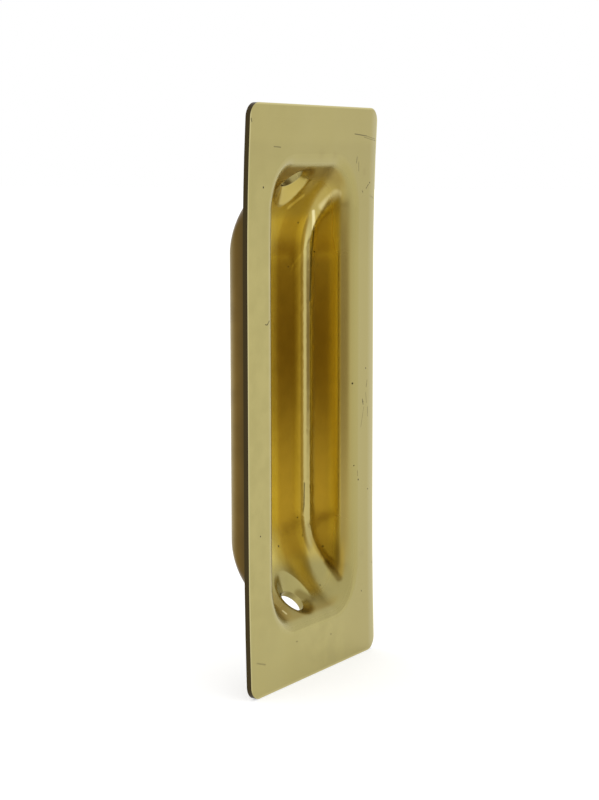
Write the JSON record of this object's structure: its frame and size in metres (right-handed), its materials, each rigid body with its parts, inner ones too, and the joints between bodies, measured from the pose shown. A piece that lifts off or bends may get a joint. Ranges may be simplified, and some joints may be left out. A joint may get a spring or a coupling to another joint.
{
  "type": "flush pull",
  "caption": "Thin pressed brass plate with a deep rectangular finger recess and a dished screw hole in each sloping end wall of the recess.",
  "frame": {"origin": "middle of the back face of the flange, which lies on the door", "axes": "+Z along the plate's length, upwards; the front looks along -Y and the recess runs back along +Y into the door; +X across the plate, to the right seen from the front"},
  "size_m": [0.0412, 0.0115, 0.0984],
  "materials": {
    "brass": "lightly worn satin brass, darker gold inside the recess"
  },
  "bodies": {
    "root": {"pull_plate": "brass"}
  },
  "joints": []
}
